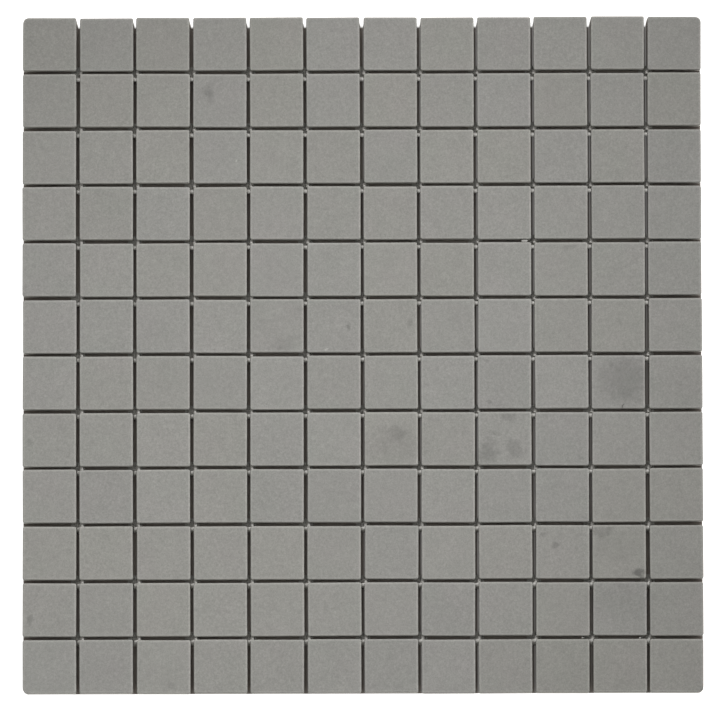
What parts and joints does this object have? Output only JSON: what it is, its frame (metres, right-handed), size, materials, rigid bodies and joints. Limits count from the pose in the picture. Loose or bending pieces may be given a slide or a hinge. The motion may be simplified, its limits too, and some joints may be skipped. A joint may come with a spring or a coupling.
{
  "type": "mosaic tile sheet",
  "caption": "Square sheet of small unglazed grey porcelain mosaic tiles with open joints, held together from behind by dots of adhesive under the crossings.",
  "frame": {"origin": "middle of the sheet, on the plane that it rests on: the undersides of the adhesive dots", "axes": "+X along a row of tiles, to the right in the picture; +Y up the columns, to the top of the picture; +Z out of the face of the tiles"},
  "size_m": [0.2988, 0.2988, 0.0066],
  "materials": {
    "tile": "matte",
    "adhesive": "satin"
  },
  "bodies": {
    "root": {"tile_row_01": "tile", "tile_row_02": "tile", "tile_row_03": "tile", "tile_row_04": "tile", "tile_row_05": "tile", "tile_row_06": "tile", "tile_row_07": "tile", "tile_row_08": "tile", "tile_row_09": "tile", "tile_row_10": "tile", "tile_row_11": "tile", "tile_row_12": "tile", "adhesive_dots_01": "adhesive", "adhesive_dots_02": "adhesive", "adhesive_dots_03": "adhesive", "adhesive_dots_04": "adhesive", "adhesive_dots_05": "adhesive", "adhesive_dots_06": "adhesive", "adhesive_dots_07": "adhesive", "adhesive_dots_08": "adhesive", "adhesive_dots_09": "adhesive", "adhesive_dots_10": "adhesive", "adhesive_dots_11": "adhesive"}
  },
  "joints": []
}
